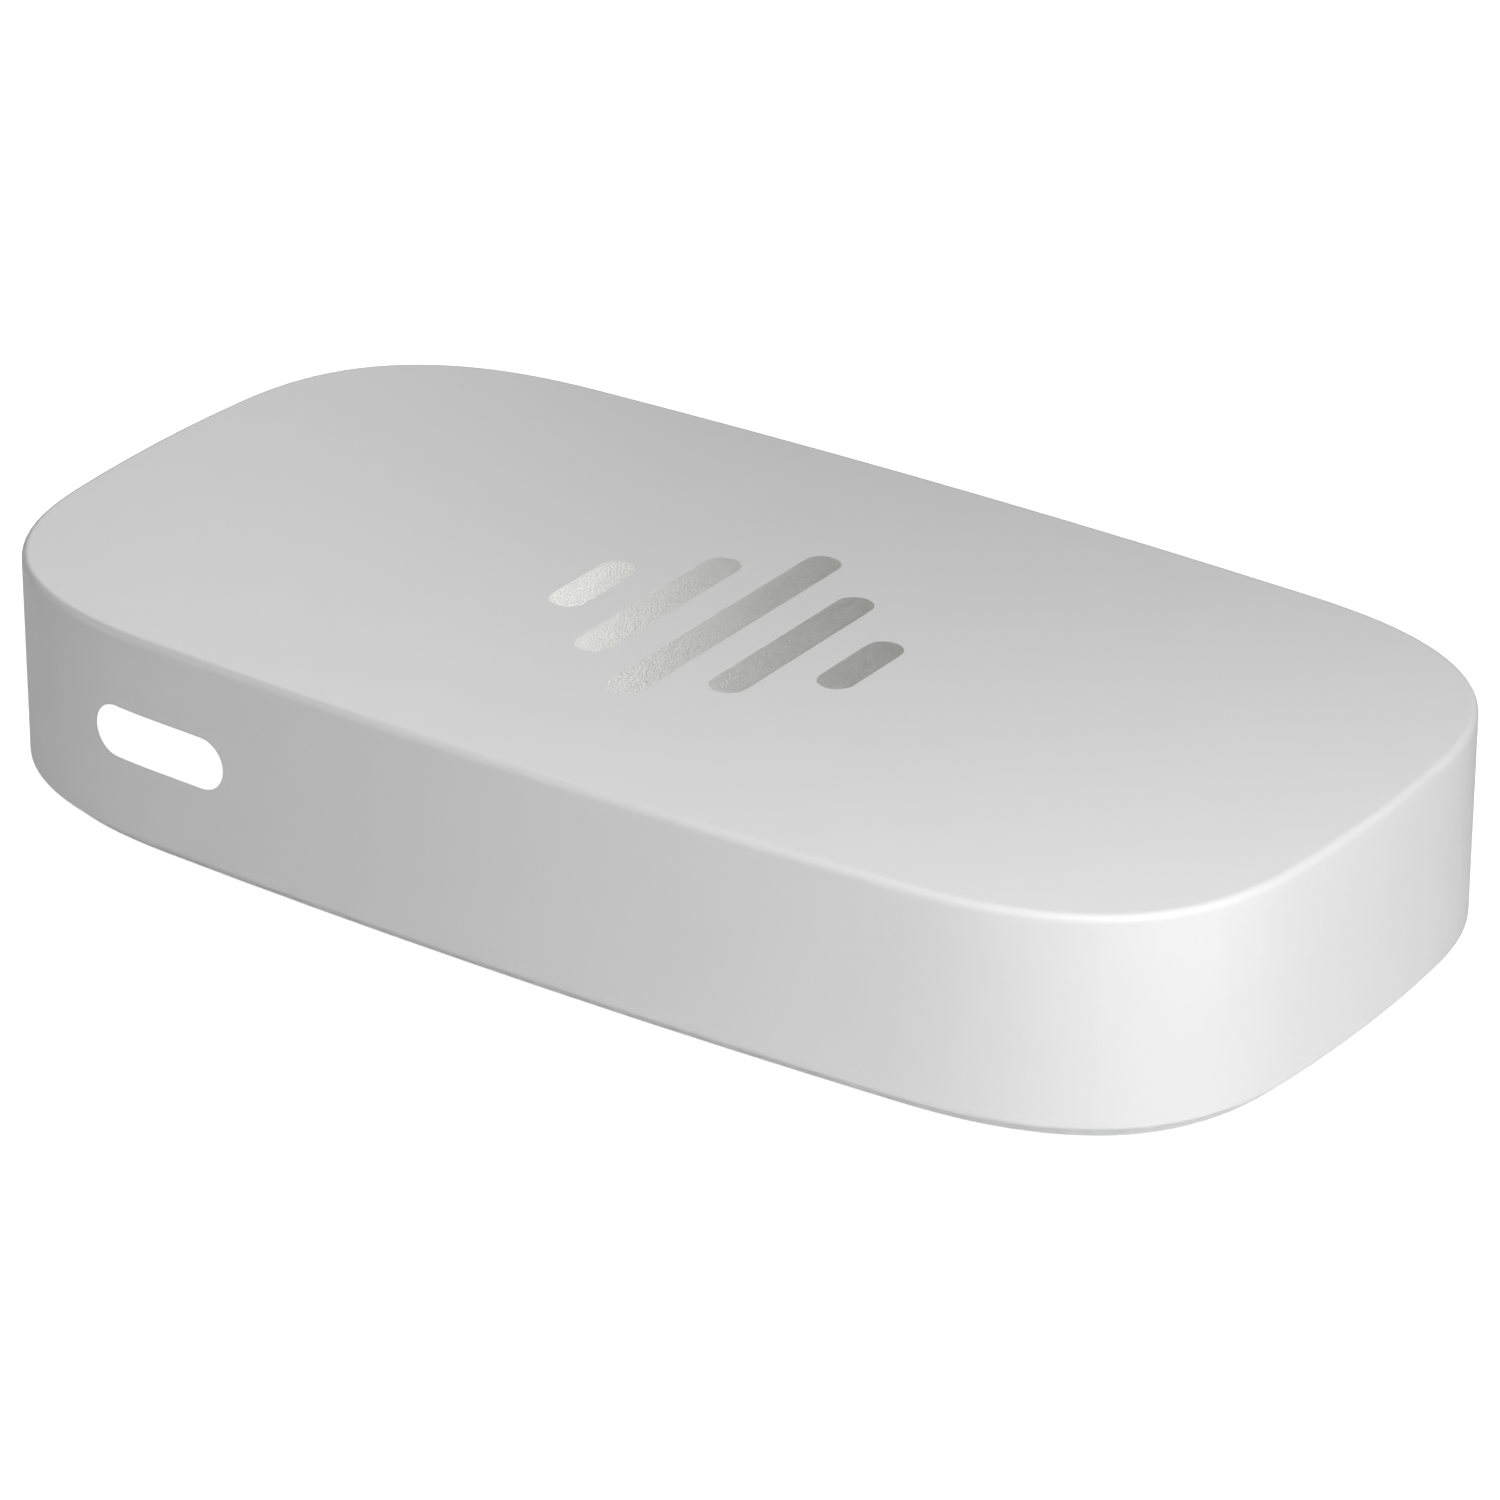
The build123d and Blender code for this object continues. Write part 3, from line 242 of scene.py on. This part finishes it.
def moulded(name, colour, roughness, grain_mm=0.25, depth_mm=0.004, change=0.004, cloud_mm=9.0):
    """Moulded plastic: a fine spark-eroded grain, and a faint change of tone across it."""
    material, tree, shader = new_material(name)
    tone(tree, shader, spread(tree, noise(tree, cloud_mm), 0.0, 1.0), colour, change)
    grain = noise(tree, grain_mm, MOULDED_DETAIL)
    gloss(tree, shader, grain, roughness, MOULDED_SWING)
    bump(tree, shader, grain, depth_mm)
    return material


def metal(name, colour, roughness, grain_mm=0.2, depth_mm=0.002, change=0.06, stretch=PLAIN):
    """Plated or rolled metal; a stretch gives it rolling lines."""
    material, tree, shader = new_material(name)
    shader.inputs["Metallic"].default_value = 1.0
    grain = noise(tree, grain_mm, METAL_DETAIL, stretch)
    tone(tree, shader, spread(tree, grain, 0.0, 1.0), colour, change)
    gloss(tree, shader, grain, roughness, METAL_SWING)
    bump(tree, shader, grain, depth_mm)
    return material


def foil(name, colour, roughness):
    """Satin silver foil: fine flakes, each of its own tone, under a satin grain."""
    material, tree, shader = new_material(name)
    shader.inputs["Metallic"].default_value = FOIL_METAL
    where = tree.nodes.new("ShaderNodeTexCoord")
    flakes = tree.nodes.new("ShaderNodeTexVoronoi")
    flakes.inputs["Scale"].default_value = 1 / (FOIL_FLAKE * MM)
    tree.links.new(where.outputs["Object"], flakes.inputs["Vector"])
    flake = tree.nodes.new("ShaderNodeSeparateColor")
    tree.links.new(flakes.outputs["Color"], flake.inputs["Color"])
    tone(tree, shader, flake.outputs["Red"], colour, FOIL_CHANGE)
    gloss(tree, shader, noise(tree, FOIL_PATCH), roughness, FOIL_SWING)
    bump(tree, shader, noise(tree, FOIL_GRAIN, FOIL_DETAIL), FOIL_DEPTH)
    return material


def glowing(name, colour, strength):
    """Milky plastic lit from behind."""
    material = moulded(name, colour, LIT_ROUGHNESS, LIT_GRAIN, POLISHED_DEPTH)
    shader = material.node_tree.nodes["Principled BSDF"]
    shader.inputs["Emission Color"].default_value = (*colour, 1.0)
    shader.inputs["Emission Strength"].default_value = strength
    return material


def clear(name, colour, roughness):
    """Clear moulded plastic."""
    material = moulded(name, colour, roughness, CLEAR_GRAIN, POLISHED_DEPTH)
    shader = material.node_tree.nodes["Principled BSDF"]
    shader.inputs["Transmission Weight"].default_value = CLEAR_TRANSMISSION
    shader.inputs["IOR"].default_value = ACRYLIC_IOR
    return material


def laminate(name, colour, roughness):
    """Solder mask over glass cloth, whose weave shows faintly through it."""
    material, tree, shader = new_material(name)
    where = tree.nodes.new("ShaderNodeTexCoord")
    threads = []
    for axis in ("X", "Y"):
        wave = tree.nodes.new("ShaderNodeTexWave")
        wave.bands_direction = axis
        wave.inputs["Scale"].default_value = WAVE_PERIOD / (THREAD * MM)
        wave.inputs["Distortion"].default_value = THREAD_WANDER
        tree.links.new(where.outputs["Object"], wave.inputs["Vector"])
        threads.append(wave.outputs["Fac"])
    weave = tree.nodes.new("ShaderNodeMath")
    weave.operation = "MULTIPLY"
    tree.links.new(threads[0], weave.inputs[0])
    tree.links.new(threads[1], weave.inputs[1])
    tone(tree, shader, weave.outputs["Value"], colour, WEAVE_CHANGE)
    gloss(tree, shader, noise(tree, MASK_PATCH), roughness, MASK_SWING)
    bump(tree, shader, weave.outputs["Value"], WEAVE_DEPTH)
    return material


# How a finish is made, its colour, and its roughness (for a glowing one, its strength). For
# moulded and metal there follow grain size and depth (mm), change of tone, and a moulded
# finish's cloud size (mm) or a metal one's stretch, where they differ from the usual.
FINISHES = {
    "housing_white": (moulded, (0.80, 0.80, 0.80), 0.42),
    # The base cover's white is lighter than the housing's as painted light: the extra lightness
    # offsets the shade it sits in under the housing's overhang.
    "cover_white": (moulded, (0.90, 0.90, 0.90), 0.5, 0.3, 0.005),
    "button_white": (moulded, (0.78, 0.78, 0.78), 0.4, 0.2, 0.003),
    "emblem_foil": (foil, (0.82, 0.82, 0.80), 0.33),
    "window_milky": (glowing, (0.97, 0.99, 1.0), 0.6),
    "silicone": (moulded, (0.26, 0.26, 0.27), 0.62, 0.35, 0.02, 0.05, 3.0),
    "clear_plastic": (clear, (0.93, 0.96, 0.98), 0.1),
    "black_plastic": (moulded, (0.022, 0.022, 0.024), 0.42, 0.15, 0.004, 0.08, 2.0),
    "led_package": (moulded, (0.86, 0.80, 0.42), 0.34, 0.1, 0.001, 0.06, 0.5),
    "board_laminate": (laminate, (0.012, 0.085, 0.045), 0.34),
    "tinned_steel": (metal, (0.66, 0.66, 0.64), 0.36, 0.3, 0.001, 0.05, (6.0, 1.0, 1.0)),
    "gold_contact": (metal, (0.88, 0.64, 0.30), 0.36, 0.1, 0.001, 0.05),
    "chip_package": (moulded, (0.03, 0.03, 0.033), 0.5, 0.08, 0.004, 0.15, 0.4),
    "ferrite": (moulded, (0.09, 0.09, 0.10), 0.6, 0.12, 0.012, 0.25, 0.3),
    "can_aluminium": (metal, (0.78, 0.78, 0.80), 0.36, 0.25, 0.001, 0.05, (1.0, 1.0, 8.0)),
    "ceramic_tan": (moulded, (0.45, 0.32, 0.20), 0.38, 0.08, 0.003, 0.12, 0.3),
    "resistor_black": (moulded, (0.04, 0.04, 0.045), 0.34, 0.1, 0.002, 0.1, 0.3),
    "screw_steel": (metal, (0.45, 0.45, 0.46), 0.36, 0.12, 0.002, 0.1),
    "spring_steel": (metal, (0.55, 0.55, 0.56), 0.36, 0.1, 0.001, 0.06, (5.0, 1.0, 1.0)),
}


def dress_nodes():
    """Gives every CAD node the finish of its own material slot."""
    materials = {name: make(name, *values) for name, (make, *values) in FINISHES.items()}
    for part in frame["record"]["subparts"]:
        for slot in NODES[part["node"]].material_slots:
            slot.material = materials[part["material_slot"]]


add_camera()
add_world()
add_floor()
for light in LIGHTS:
    add_light(*light)
dress_nodes()

bpy.context.scene.view_settings.view_transform = "Standard"
